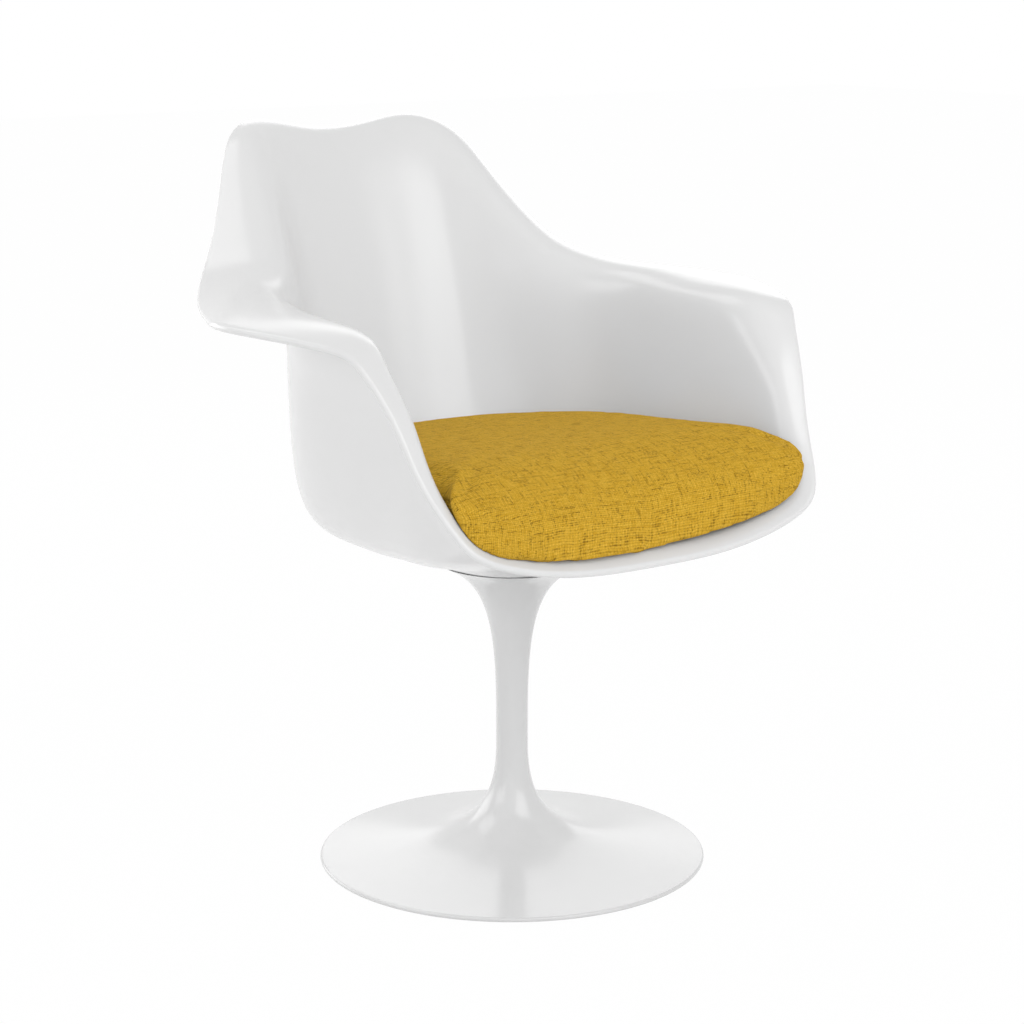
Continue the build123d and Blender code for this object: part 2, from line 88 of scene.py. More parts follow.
def grainy(material, shader, place, size, height):
    """Fine bumps of a coated or cut surface."""
    grain = add_node(material, "ShaderNodeTexNoise", Scale=size, Detail=2.0)
    wire(material, place.outputs["Object"], grain.inputs["Vector"])
    bump = add_node(material, "ShaderNodeBump", Strength=0.5, Distance=height)
    wire(material, grain.outputs["Fac"], bump.inputs["Height"])
    wire(material, bump.outputs["Normal"], shader.inputs["Normal"])


def bezier(points, count):
    """Points along a cubic curve."""
    t = np.linspace(0, 1, count)[:, None]
    p = np.array(points, float)
    return (1 - t) ** 3 * p[0] + 3 * (1 - t) ** 2 * t * p[1] + 3 * (1 - t) * t**2 * p[2] + t**3 * p[3]


def turned_piece(name, outline, steps, sharp=35):
    """Closed outline of (radius, height) turned about the stem's axis."""
    outline = np.array(outline)
    angles = np.linspace(0, 2 * math.pi, steps, endpoint=False)
    ring = np.stack([np.cos(angles), np.sin(angles)], 1)
    count = len(outline)
    points = np.zeros((steps, count, 3))
    points[:, :, :2] = ring[:, None, :] * outline[None, :, :1]
    points[:, :, 2] = outline[None, :, 1]
    faces = []
    for step in range(steps):
        for index in range(count):
            a, b = step * count + index, step * count + (index + 1) % count
            c, d = (step + 1) % steps * count + (index + 1) % count, (step + 1) % steps * count + index
            faces.append((a, b, c, d))
    return finished_mesh(name, points.reshape(-1, 3), faces, sharp)


def finished_mesh(name, points, faces, sharp):
    """Object from points and faces, doubles merged, faces turned outwards, smooth up to an angle."""
    mesh = bpy.data.meshes.new(name)
    mesh.from_pydata([tuple(point) for point in points], [], faces)
    work = bmesh.new()
    work.from_mesh(mesh)
    bmesh.ops.remove_doubles(work, verts=work.verts, dist=1e-6)
    bmesh.ops.dissolve_degenerate(work, edges=work.edges, dist=1e-7)
    bmesh.ops.recalc_face_normals(work, faces=work.faces)
    work.to_mesh(mesh)
    work.free()
    mesh.shade_smooth()
    mesh.set_sharp_from_angle(angle=math.radians(sharp))
    piece = bpy.data.objects.new(name, mesh)
    bpy.context.collection.objects.link(piece)
    return piece


lip_radius, foot_edge, foot_low = 0.2105, 0.006, 0.001
bell_reach, bell_slope, bell_start, bell_top = 0.141, math.radians(6.6), 0.031, 0.130
stem_radius, flare_start, flare_bend = 0.0175, 0.167, 0.283
collar_radius, seam_height, flare_reach, flare_slope = 0.079, 0.335, 0.050, math.radians(24)
dish_radius, dish_floor = 0.056, 0.3254
bush_radius, bore_radius, upper_pocket, lower_pocket = 0.01205, 0.0105, 0.2954, 0.052
boss_radius, boss_bottom, hollow_top, hollow_edge, casting_wall = 0.024, 0.024, 0.044, 0.199, 0.005
groove_inner, groove_outer, groove_top = 0.2017, 0.2078, 0.0025
bell_handle = (
    lip_radius - bell_reach * math.cos(bell_slope), foot_edge + bell_reach * math.sin(bell_slope),
)
flare_handle = (
    collar_radius - flare_reach * math.cos(flare_slope), seam_height - flare_reach * math.sin(flare_slope),
)
edge_turns = np.radians(np.linspace(-90, 90, 13))
edge_round, edge_middle = 0.0025, 0.0035
foot_rim = np.stack(
    [lip_radius + edge_round * np.cos(edge_turns), edge_middle + edge_round * np.sin(edge_turns)], 1
)
bell = [(lip_radius, foot_edge), bell_handle, (stem_radius, bell_start), (stem_radius, bell_top)]
flare = [(stem_radius, flare_start), (stem_radius, flare_bend), flare_handle, (collar_radius, seam_height)]
collar_lip = [(0.0786, 0.3347), (0.0784, seam_height)]
bore = [
    (dish_radius, seam_height), (dish_radius, dish_floor), (bush_radius, dish_floor),
    (bush_radius, upper_pocket), (bore_radius, upper_pocket), (bore_radius, lower_pocket),
    (bush_radius, lower_pocket), (bush_radius, boss_bottom), (0.0236, boss_bottom), (boss_radius, 0.0244),
]
hollow = [
    (boss_radius, hollow_top), (boss_radius, boss_bottom),
    (bell_handle[0], bell_handle[1] - casting_wall), (hollow_edge, foot_low),
]
groove = [
    (groove_inner, foot_low), (groove_inner, groove_top),
    (groove_outer, groove_top), (groove_outer, foot_low),
]
pedestal_outline = np.vstack([
    foot_rim, bezier(bell, 73)[1:], bezier(flare, 49)[:-1], collar_lip, bore, bezier(hollow, 49), groove,
])
pedestal = turned_piece("pedestal_casting", pedestal_outline, 192)
pedestal_coat, shader = new_finish("satin_white_coat", (0.80, 0.80, 0.80), 0.2)
shader.inputs["Coat Weight"].default_value = 0.25
shader.inputs["Coat Roughness"].default_value = 0.12
place = cloudy(pedestal_coat, shader, (0.75, 0.75, 0.75), (0.71, 0.71, 0.71), 9.0, (0.16, 0.22))
grainy(pedestal_coat, shader, place, 900.0, 0.00004)
pedestal.data.materials.append(pedestal_coat)
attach(pedestal, "base")
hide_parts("pedestal")


# Glide ring and swivel bearings: plastic rings pressed into the casting, the glide under the foot's edge,
# one bush at each end of the bore and a thrust washer in the collar's dish. Moulded in nylon.
def moulded(name, light, dark, spread, grain=1200.0):
    """Moulded plastic with a faint flow of colour and a fine skin."""
    material, shader = new_finish(name, light, spread[0])
    place = cloudy(material, shader, light, dark, 40.0, spread)
    grainy(material, shader, place, grain, 0.00006)
    return material


def dress(names, material):
    """Gives CAD nodes their finish."""
    for name in names:
        nodes[name].data.materials.clear()
        nodes[name].data.materials.append(material)


dress(
    ["floor_glide_ring"],
    moulded("grey_glide_plastic", (0.42, 0.42, 0.41), (0.34, 0.34, 0.33), (0.4, 0.6)),
)
dress(
    ["upper_bush", "lower_bush", "thrust_washer"],
    moulded("natural_bearing_nylon", (0.80, 0.77, 0.68), (0.72, 0.68, 0.58), (0.35, 0.5)),
)


# Seat shell: a glass-fibre bucket moulded in one piece, with a waterfall front, rolled-out arms
# and a waisted back. White gel coat, polished glossy inside and out; its floor is thickened for the clamp.
shell_thickness, hub_bottom, hub_radius, hub_slope = 0.008, 0.3362, 0.065, math.radians(22)
# Ribs of the middle surface from the front centre round to the back, belly to rim,
# in millimetres from the seam.
shell_ribs = [
    [
        (0, -122, 25), (0, -165, 40), (0, -190, 48), (0, -207, 52),
        (0, -220, 51), (0, -231, 48), (0, -239, 43),
    ],
    [
        (45, -118, 25), (73, -165, 41), (88, -191, 50), (97, -208, 55),
        (102, -221, 55), (106, -232, 53), (109, -240, 48),
    ],
    [
        (85, -105, 25), (136, -153, 42), (163, -182, 55), (176, -202, 66),
        (184, -216, 72), (191, -227, 73), (199, -236, 69),
    ],
    [
        (108, -80, 25), (170, -123, 41), (201, -155, 61), (211, -180, 85),
        (217, -201, 98), (224, -214, 102), (234, -221, 99),
    ],
    [
        (118, -52, 25), (186, -90, 40), (219, -122, 70), (226, -150, 123),
        (230, -173, 147), (240, -184, 152), (252, -188, 149),
    ],
    [
        (122, -30, 25), (192, -58, 40), (225, -88, 80), (230, -120, 168),
        (234, -146, 201), (247, -158, 208), (265, -163, 205),
    ],
    [
        (124, -12, 25), (195, -32, 40), (228, -58, 83), (231, -85, 200),
        (235, -108, 247), (254, -125, 257), (281, -133, 253),
    ],
    [
        (125, 5, 25), (197, -8, 40), (230, -25, 85), (231, -45, 230),
        (233, -66, 277), (262, -91, 284), (301, -96, 273),
    ],
    [
        (124, 25, 25), (197, 25, 41), (230, 20, 85), (230, 15, 245),
        (231, 6, 288), (287, 4, 291), (336, 8, 281),
    ],
    [
        (121, 45, 25), (193, 60, 41), (226, 65, 85), (226, 66, 248),
        (226, 66, 295), (276, 75, 294), (321, 82, 280),
    ],
    [
        (112, 66, 25), (179, 95, 41), (209, 107, 85), (210, 109, 248),
        (210, 111, 298), (249, 138, 299), (286, 160, 283),
    ],
    [
        (98, 86, 25), (153, 126, 41), (178, 142, 87), (184, 144, 250),
        (187, 152, 313), (219, 193, 315), (249, 220, 301),
    ],
    [
        (80, 102, 25), (127, 150, 42), (150, 171, 90), (157, 177, 255),
        (161, 190, 340), (192, 229, 349), (216, 252, 336),
    ],
    [
        (60, 114, 25), (98, 168, 43), (119, 192, 93), (131, 206, 255),
        (140, 236, 375), (164, 268, 400), (183, 287, 388),
    ],
    [
        (42, 122, 25), (69, 180, 44), (87, 207, 97), (103, 230, 260),
        (120, 276, 409), (139, 302, 442), (154, 318, 436),
    ],
    [
        (26, 126, 25), (42, 186, 44), (54, 214, 99), (68, 245, 275),
        (88, 304, 423), (99, 330, 458), (109, 346, 458),
    ],
    [
        (12, 128, 25), (20, 188, 45), (26, 217, 101), (33, 250, 280),
        (43, 309, 417), (48, 335, 451), (52, 351, 451),
    ],
    [
        (0, 128, 25), (0, 189, 45), (0, 218, 101), (0, 252, 280),
        (0, 310, 413), (0, 336, 446), (0, 352, 446),
    ],
]


def smooth_weights(places, count, closed):
    """Weights that draw a smooth curve past a row of control points, closed or held at both ends."""
    rows = np.zeros((len(places), count))
    for row, place in zip(rows, places):
        first = math.floor(place) if closed else min(int(place), count - 2)
        u = place - first
        weights = ((1 - u) ** 3, 3 * u**3 - 6 * u**2 + 4, 1 + 3 * u + 3 * u**2 - 3 * u**3, u**3)
        for index, weight in zip(range(first - 1, first + 3), weights):
            if closed:
                row[index % count] += weight / 6
            elif index < 0:
                row[0] += weight / 3
                row[1] -= weight / 6
            elif index >= count:
                row[-1] += weight / 3
                row[-2] -= weight / 6
            else:
                row[index] += weight / 6
    return rows


def shell_net():
    """Control points round the whole shell, hub first, for a surface that passes through the ribs."""
    hub_width = collar_radius - hub_radius
    hub_height = hub_bottom + shell_thickness / 2 / math.cos(hub_slope) - hub_width * math.tan(hub_slope)
    right = []
    for rib in shell_ribs:
        points = np.array(rib) / 1000 + (0, 0, seam_height)
        bearing = points[0, :2] / np.linalg.norm(points[0, :2])
        right.append(np.vstack([[*(bearing * hub_radius), hub_height], points]))
    through = np.array(right + [rib * (-1, 1, 1) for rib in reversed(right[1:-1])])
    count = len(through)
    weights = smooth_weights(range(count), count, True)
    return np.linalg.solve(weights, through.reshape(count, -1)).reshape(through.shape)


def shell_surface(turns, reaches):
    """Middle surface of the shell with its outward normals and its directions along the ribs."""
    net = shell_net()
    inward = smooth_weights(reaches, net.shape[1], False)

    def drawn(places, weights):
        return np.einsum("uk,vj,kjc->uvc", smooth_weights(places, len(net), True), weights, net)

    def unit(vectors):
        return vectors / np.linalg.norm(vectors, axis=2, keepdims=True)

    small, last = 1e-3, net.shape[1] - 1
    around = drawn(turns + small, inward) - drawn(turns - small, inward)
    ahead = smooth_weights(np.minimum(reaches + small, last), net.shape[1], False)
    behind = smooth_weights(np.maximum(reaches - small, 0), net.shape[1], False)
    along = unit(drawn(turns, ahead) - drawn(turns, behind))
    return drawn(turns, inward), unit(np.cross(around, along)), along


def closed_ring_faces(rows, columns):
    """Faces of a grid that closes both ways."""
    faces = []
    for row in range(rows):
        for column in range(columns):
            a, b = row * columns + column, row * columns + (column + 1) % columns
            c, d = (row + 1) % rows * columns + (column + 1) % columns, (row + 1) % rows * columns + column
            faces.append((a, b, c, d))
    return faces


all_round = 34
turns = np.arange(0, all_round, 1 / 8)
reaches = np.linspace(0, 7, 71)
middle, normal, along = shell_surface(turns, reaches)
outside = middle + normal * shell_thickness / 2
inside = middle - normal * shell_thickness / 2
outside[:, :, 2] = np.maximum(outside[:, :, 2], hub_bottom)
rim = []
for bend in np.radians(np.linspace(90, -90, 9)[1:-1]):
    round_edge = normal[:, -1] * math.sin(bend) + along[:, -1] * math.cos(bend)
    rim.append(middle[:, -1] + round_edge * shell_thickness / 2)
skin = np.concatenate([outside, np.stack(rim, 1), inside[:, ::-1]], 1)
skin_faces = closed_ring_faces(skin.shape[0], skin.shape[1])
shell = finished_mesh("seat_bucket", skin.reshape(-1, 3), skin_faces, 60)
floor_outline = [
    (0.0001, 0.3366), (0.0752, 0.3366), (0.095, 0.3465), (0.095, 0.3515), (0.0945, 0.352),
    (0.0540, 0.352), (0.0535, 0.3515), (0.0535, 0.343), (0.0001, 0.343),
]
shell_floor = turned_piece("seat_floor", floor_outline, 128)
gel_coat, shader = new_finish("glossy_white_gel_coat", (0.84, 0.84, 0.84), 0.2)
shader.inputs["Coat Weight"].default_value = 0.35
shader.inputs["Coat Roughness"].default_value = 0.2
place = cloudy(gel_coat, shader, (0.82, 0.82, 0.82), (0.79, 0.79, 0.79), 6.0, (0.21, 0.26))
grainy(gel_coat, shader, place, 260.0, 0.00003)
for piece in (shell, shell_floor):
    piece.data.materials.append(gel_coat)
    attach(piece, "seat")
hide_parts("seat_shell")


# Swivel: a steel flange under the shell with its spindle, which runs down through the bushes
# and is held under the foot by a washer and a lock nut with a nylon ring. Zinc-plated steel.
def plated(name, light, dark, spread):
    """Zinc-plated steel with faint stains and drawn marks."""
    material, shader = new_finish(name, light, spread[0])
    shader.inputs["Metallic"].default_value = 1.0
    place = cloudy(material, shader, light, dark, 70.0, spread)
    grainy(material, shader, place, 1500.0, 0.00005)
    return material


zinc = plated("zinc_plate", (0.66, 0.66, 0.65), (0.52, 0.52, 0.50), (0.28, 0.42))
dress(["swivel_flange", "spindle", "retaining_washer", "lock_nut", "clamp_plate"], zinc)
dress(["lock_nut_insert"], moulded("blue_nylon", (0.06, 0.14, 0.42), (0.04, 0.10, 0.33), (0.4, 0.5)))


# Clamp bolts: four button-head socket bolts on washers, through the plate in the pan's recess
# into the flange. Zinc-plated, each with a hexagon socket.
def tree_input(tree, name, kind, value):
    """Named input of a tree with its usual value."""
    socket = tree.interface.new_socket(name, in_out="INPUT", socket_type=kind)
    if value is not None:
        socket.default_value = value
    return socket


def new_tree(name):
    """Empty geometry tree with its group input and group output."""
    tree = bpy.data.node_groups.new(name, "GeometryNodeTree")
    tree.interface.new_socket("Geometry", in_out="INPUT", socket_type="NodeSocketGeometry")
    tree.interface.new_socket("Geometry", in_out="OUTPUT", socket_type="NodeSocketGeometry")
    return tree, tree.nodes.new("NodeGroupInput"), tree.nodes.new("NodeGroupOutput")


def realize(tree, instances, material, group_out):
    """Ends a tree: real geometry with its material."""
    real = tree.nodes.new("GeometryNodeRealizeInstances")
    paint = tree.nodes.new("GeometryNodeSetMaterial")
    paint.inputs["Material"].default_value = material
    tree.links.new(instances, real.inputs["Geometry"])
    tree.links.new(real.outputs["Geometry"], paint.inputs["Geometry"])
    tree.links.new(paint.outputs["Geometry"], group_out.inputs["Geometry"])


def grown(name, tree, values):
    """Runs a tree on an empty mesh and keeps the result as a plain mesh."""
    piece = bpy.data.objects.new(name, bpy.data.meshes.new(name + "_start"))
    bpy.context.collection.objects.link(piece)
    modifier = piece.modifiers.new("tree", "NODES")
    modifier.node_group = tree
    for item in tree.interface.items_tree:
        if item.item_type == "SOCKET" and item.in_out == "INPUT" and item.name in values:
            modifier[item.identifier] = values[item.name]
    evaluated = piece.evaluated_get(bpy.context.evaluated_depsgraph_get())
    result = bpy.data.meshes.new_from_object(evaluated)
    piece.modifiers.remove(modifier)
    piece.data = result
    return piece


def bolt_mesh():
    """One bolt head on its washer, standing at the origin with the washer's underside at height 0."""
    head_radius, head_rise, socket, socket_depth = 0.0070, 0.0045, 0.0029, 0.0025
    washer_radius, washer_top, washer_hole, bevel, axis = 0.0080, 0.0016, 0.0046, 0.0002, 0.0001
    head = []
    for turn in np.radians(np.linspace(0, 68, 9)):
        head.append((head_radius * math.cos(turn), washer_top + head_rise * math.sin(turn)))
    top = head[-1][1]
    outline = [
        (washer_hole, 0.0), (washer_radius - bevel, 0.0), (washer_radius, bevel),
        (washer_radius, washer_top - bevel), (washer_radius - bevel, washer_top),
    ]
    outline += head
    outline += [
        (socket + bevel, top), (socket, top - bevel), (socket, top - socket_depth),
        (axis, top - 0.0030), (axis, 0.0),
    ]
    piece = turned_piece("bolt_pattern", outline, 48)
    for vertex in piece.data.vertices:
        radius = math.hypot(vertex.co.x, vertex.co.y)
        if 0.0025 < radius < 0.0031 and vertex.co.z > 0.003:
            turn = math.atan2(vertex.co.y, vertex.co.x) % (math.pi / 3) - math.pi / 6
            share = math.cos(math.pi / 6) / math.cos(turn)
            vertex.co.x *= share
            vertex.co.y *= share
    return piece


tree, group_in, group_out = new_tree("bolts_on_circle")
tree_input(tree, "Count", "NodeSocketInt", 4)
tree_input(tree, "Circle radius", "NodeSocketFloat", 0.038)
tree_input(tree, "Seat height", "NodeSocketFloat", 0.346)
tree_input(tree, "Bolt", "NodeSocketObject", None)
circle = tree.nodes.new("GeometryNodeMeshCircle")
tree.links.new(group_in.outputs["Count"], circle.inputs["Vertices"])
tree.links.new(group_in.outputs["Circle radius"], circle.inputs["Radius"])
lift = tree.nodes.new("GeometryNodeTransform")
level = tree.nodes.new("ShaderNodeCombineXYZ")
tree.links.new(group_in.outputs["Seat height"], level.inputs["Z"])
tree.links.new(level.outputs["Vector"], lift.inputs["Translation"])
lift.inputs["Rotation"].default_value = (0, 0, math.radians(45))
tree.links.new(circle.outputs["Mesh"], lift.inputs["Geometry"])
bolt_info = tree.nodes.new("GeometryNodeObjectInfo")
tree.links.new(group_in.outputs["Bolt"], bolt_info.inputs["Object"])
place_bolts = tree.nodes.new("GeometryNodeInstanceOnPoints")
tree.links.new(lift.outputs["Geometry"], place_bolts.inputs["Points"])
tree.links.new(bolt_info.outputs["Geometry"], place_bolts.inputs["Instance"])
realize(tree, place_bolts.outputs["Instances"], zinc, group_out)
bolt = bolt_mesh()
bolts = grown("clamp_bolts", tree, {"Bolt": bolt})
bpy.data.objects.remove(bolt)
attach(bolts, "seat")
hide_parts("seat_bolts", "bolt_washers")


# Hook tapes: two strips glued to the pan's floor beside the clamp plate, white woven backing
# with rows of stiff nylon hooks that grip the loop strips under the cushion.
def calc(material, operation, *values):
    """Sum on numbers or on other nodes' outputs."""
    node = add_node(material, "ShaderNodeMath", operation=operation)
    for socket, value in zip(node.inputs, values):
        if isinstance(value, (int, float)):
            socket.default_value = value
        else:
            wire(material, value, socket)
    return node.outputs[0]


def blend(material, share, first, second):
    """Mix of two colours, each given or from another node."""
    node = add_node(material, "ShaderNodeMix", data_type="RGBA")
    wire(material, share, node.inputs["Factor"])
    for socket, color in ((node.inputs[6], first), (node.inputs[7], second)):
        if isinstance(color, tuple):
            socket.default_value = (*color, 1)
        else:
            wire(material, color, socket)
    return node.outputs[2]


def thread_count(material, source, pitch):
    """Counts the threads across and along a woven surface, with a slight waver."""
    place = add_node(material, "ShaderNodeTexCoord")
    waver = add_node(material, "ShaderNodeTexNoise", Scale=60.0, Detail=2.0)
    wire(material, place.outputs[source], waver.inputs["Vector"])
    shifted = add_node(material, "ShaderNodeVectorMath", operation="MULTIPLY_ADD")
    shifted.inputs[1].default_value = (pitch * 0.9, pitch * 0.9, 0)
    wire(material, waver.outputs["Color"], shifted.inputs[0])
    wire(material, place.outputs[source], shifted.inputs[2])
    counted = add_node(material, "ShaderNodeVectorMath", operation="SCALE", Scale=1 / pitch)
    wire(material, shifted.outputs["Vector"], counted.inputs[0])
    return counted.outputs["Vector"]


def woven(material, count):
    """Height of a plain weave's threads, which of the two is on top, and where the weave leaves holes."""
    parts = add_node(material, "ShaderNodeSeparateXYZ")
    wire(material, count, parts.inputs[0])
    across = calc(material, "SINE", calc(material, "MULTIPLY", parts.outputs["X"], math.pi))
    length = calc(material, "SINE", calc(material, "MULTIPLY", parts.outputs["Y"], math.pi))
    over = calc(material, "GREATER_THAN", calc(material, "MULTIPLY", across, length), 0.0)
    swells = []
    for own, other in ((across, length), (length, across)):
        rounded = calc(material, "POWER", calc(material, "ABSOLUTE", own), 0.55)
        bow = calc(material, "MULTIPLY_ADD", calc(material, "ABSOLUTE", other), 0.6, 0.4)
        swells.append(calc(material, "MULTIPLY", rounded, bow))
    thread = add_node(material, "ShaderNodeMix", data_type="FLOAT")
    wire(material, over, thread.inputs["Factor"])
    wire(material, swells[0], thread.inputs["A"])
    wire(material, swells[1], thread.inputs["B"])
    beside = calc(material, "SUBTRACT", 1.0, calc(material, "ABSOLUTE", length))
    dashed = calc(material, "MULTIPLY_ADD", calc(material, "ABSOLUTE", across), -0.75, 1.0)
    return thread.outputs["Result"], over, calc(material, "MULTIPLY", beside, dashed)


def raised(material, shader, height, distance):
    """Bump from a height."""
    bump = add_node(material, "ShaderNodeBump", Strength=0.7, Distance=distance)
    wire(material, height, bump.inputs["Height"])
    wire(material, bump.outputs["Normal"], shader.inputs["Normal"])


def tape_finish(name, light, dark, pitch):
    """Woven tape, its threads darker in the dips between them: painted shade."""
    material, shader = new_finish(name, light, 0.85)
    thread, _, _ = woven(material, thread_count(material, "Object", pitch))
    # thread colour follows its height, dark in the dips: painted shade
    wire(material, blend(material, thread, dark, light), shader.inputs["Base Color"])
    raised(material, shader, thread, 0.0002)
    return material


tape_white = tape_finish("white_woven_tape", (0.72, 0.72, 0.69), (0.40, 0.40, 0.38), 0.0009)
dress(["hook_tapes", "loop_tapes"], tape_white)

tree, group_in, group_out = new_tree("hooks_on_tape")
tree_input(tree, "Length", "NodeSocketFloat", 0.046)
tree_input(tree, "Width", "NodeSocketFloat", 0.016)
tree_input(tree, "Rows", "NodeSocketInt", 21)
tree_input(tree, "Hooks per row", "NodeSocketInt", 8)
field = tree.nodes.new("GeometryNodeMeshGrid")
tree.links.new(group_in.outputs["Width"], field.inputs["Size X"])
tree.links.new(group_in.outputs["Length"], field.inputs["Size Y"])
tree.links.new(group_in.outputs["Hooks per row"], field.inputs["Vertices X"])
tree.links.new(group_in.outputs["Rows"], field.inputs["Vertices Y"])
tape_middle, tape_top, hook_radius, hook_wire = 0.0675, 0.3534, 0.0003, 0.0001
both = tree.nodes.new("GeometryNodeJoinGeometry")
for side in (-1, 1):
    shift = tree.nodes.new("GeometryNodeTransform")
    shift.inputs["Translation"].default_value = (side * tape_middle, 0, tape_top)
    tree.links.new(field.outputs["Mesh"], shift.inputs["Geometry"])
    tree.links.new(shift.outputs["Geometry"], both.inputs["Geometry"])
bend = tree.nodes.new("GeometryNodeCurveArc")
bend.inputs["Resolution"].default_value = 5
bend.inputs["Radius"].default_value = hook_radius
bend.inputs["Sweep Angle"].default_value = math.radians(200)
upright = tree.nodes.new("GeometryNodeTransform")
upright.inputs["Rotation"].default_value = (math.radians(90), 0, 0)
tree.links.new(bend.outputs["Curve"], upright.inputs["Geometry"])
wire_section = tree.nodes.new("GeometryNodeCurvePrimitiveCircle")
wire_section.inputs["Resolution"].default_value = 4
wire_section.inputs["Radius"].default_value = hook_wire
hook = tree.nodes.new("GeometryNodeCurveToMesh")
tree.links.new(upright.outputs["Geometry"], hook.inputs["Curve"])
tree.links.new(wire_section.outputs["Curve"], hook.inputs["Profile Curve"])
stand = tree.nodes.new("GeometryNodeInstanceOnPoints")
tree.links.new(both.outputs["Geometry"], stand.inputs["Points"])
tree.links.new(hook.outputs["Mesh"], stand.inputs["Instance"])
hook_nylon = moulded("hook_nylon", (0.74, 0.74, 0.71), (0.66, 0.66, 0.62), (0.3, 0.4))
realize(tree, stand.outputs["Instances"], hook_nylon, group_out)
hooks = grown("tape_hooks", tree, {})
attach(hooks, "seat")


# Cushion: a shaped foam block in a sewn woven cover, crowned on top, rolled over the front edge
# and drawn in along the pan. The side seam runs round the back and dies out in a dart at each front corner.
cushion_under, pan_gap, edge_gap = 0.3553, 0.005, 0.001
corner_turn, corner_width, corner_out = 3.0, 0.30, 0.006
outer_reach, reach_steps, wall_points, profile_points = 6.8, 272, 40, 130


def seam_height_at(y):
    """Height of the side seam, which falls towards the back."""
    return 0.449 - 0.05 * y


def crown_height_at(y):
    """Height of the cushion's top, which falls towards the back."""
    return np.minimum(0.4760 - 0.07 * y, 0.4860)


def rounded(profile, count, passes):
    """Respaces a profile evenly and softens its corners, with its ends held."""
    steps = np.r_[0, np.cumsum(np.linalg.norm(np.diff(profile, axis=0), axis=1))]
    even = np.linspace(0, steps[-1], count)
    points = np.stack([np.interp(even, steps, axis) for axis in profile.T], 1)
    for _ in range(passes):
        points[1:-1] = (points[:-2] + 2 * points[1:-1] + points[2:]) / 4
    return points


turns = np.arange(0, all_round, 1 / 8)
reaches = np.linspace(0, outer_reach, reach_steps + 1)
middle, normal, along = shell_surface(turns, reaches)
gap = np.interp(reaches, (4.5, 6.0), (pan_gap, edge_gap))
pan = middle - normal * (shell_thickness / 2 + gap[None, :, None])
columns = []
for turn, line in zip(turns, pan):
    from_front = min(turn, all_round - turn)
    on_left = turn < all_round / 2
    edge_reach = np.interp(from_front, (0, 1, 2, 2.5, 3, 3.3, 3.8), (6.6, 6.6, 6.6, 6.55, 6.4, 6.1, 5.2))
    corner_rise, edge_more = (0.013, 0) if on_left else (0.005, 0.2)
    corner = math.exp(-(((from_front - corner_turn) / corner_width) ** 2))
    low = np.argmax(line[:, 2] >= cushion_under)
    above = np.nonzero(line[:, 2] >= seam_height_at(line[:, 1]))[0]
    last = int((edge_reach + edge_more) / outer_reach * reach_steps)
    high = min(above[0], last) if len(above) else last
    wall = line[np.linspace(low, high, wall_points).round().astype(int)]
    wall[0, 2] = cushion_under
    lift = np.interp(turn, (0, 1, 2.6, 3.2, 32.5, all_round), (0.003, 0.007, 0.007, 0, 0, 0.003))
    wall[:, 2] += lift * np.linspace(0, 1, wall_points) ** 3
    outward = 1 + corner_out * corner
    edge = wall[-1] * (outward, outward, 1) + (0, 0, corner_rise * corner)
    under = []
    for share in np.linspace(0.06, 0.92, 8):
        under.append((wall[0, 0] * share, wall[0, 1] * share, cushion_under))
    fullness = np.interp(from_front, (0, 2.5, 3.5), (3.6, 4.5, 6.0)) - 2.0 * corner
    crown = []
    for climb in np.radians(np.linspace(0, 88, 40)):
        share = math.cos(climb) ** (2 / fullness)
        rise = crown_height_at(edge[1] * share) - edge[2]
        crown.append((edge[0] * share, edge[1] * share, edge[2] + rise * math.sin(climb) ** (2 / fullness)))
    crisp = 31 < turn < all_round or corner > 0.3
    profile = np.vstack([under, wall[:-1], crown])
    columns.append(rounded(profile, profile_points, 1 if crisp else 3))
columns = np.array(columns)
rows, count = columns.shape[:2]
faces = []
for row in range(rows):
    for column in range(count - 1):
        a, b = row * count + column, row * count + column + 1
        faces.append((a, b, (row + 1) % rows * count + column + 1, (row + 1) % rows * count + column))
faces.append([row * count for row in range(rows)])
faces.append([row * count + count - 1 for row in range(rows)])
cushion = finished_mesh("seat_cushion", columns.reshape(-1, 3), faces, 180)


def applied(piece):
    """Keeps what a piece's modifiers make as its own mesh."""
    evaluated = piece.evaluated_get(bpy.context.evaluated_depsgraph_get())
    result = bpy.data.meshes.new_from_object(evaluated)
    piece.modifiers.clear()
    piece.data = result


def mesh_points(mesh):
    """Vertex places of a mesh as rows of numbers."""
    points = np.empty(len(mesh.vertices) * 3)
    mesh.vertices.foreach_get("co", points)
    return points.reshape(-1, 3)


voxel = cushion.modifiers.new("even_faces", "REMESH")
voxel.mode = "VOXEL"
voxel.voxel_size = 0.0042
applied(cushion)
start = mesh_points(cushion.data)
swell_cap, swell_frames = 0.004, 20
cloth = cushion.modifiers.new("cover_cloth", "CLOTH")
cloth.settings.quality = 5
cloth.settings.mass = 0.3
cloth.settings.tension_stiffness = 15
cloth.settings.compression_stiffness = 15
cloth.settings.bending_stiffness = 2
cloth.settings.use_pressure = True
cloth.settings.uniform_pressure_force = 4
cloth.settings.effector_weights.gravity = 0
cloth.collision_settings.use_collision = False
cloth.point_cache.frame_start = 1
cloth.point_cache.frame_end = swell_frames
for step in range(1, swell_frames + 1):
    bpy.context.scene.frame_set(step)
applied(cushion)
bpy.context.scene.frame_set(1)
moved = mesh_points(cushion.data) - start
length = np.linalg.norm(moved, axis=1, keepdims=True)
start = start + moved * np.minimum(1, swell_cap / np.maximum(length, 1e-9))
flat = (np.hypot(start[:, 0], start[:, 1]) < 0.115) & (start[:, 2] < 0.365)
start[flat, 2] = np.maximum(start[flat, 2], cushion_under)
cushion.data.vertices.foreach_set("co", start.ravel())
smooth = cushion.modifiers.new("soft", "SMOOTH")
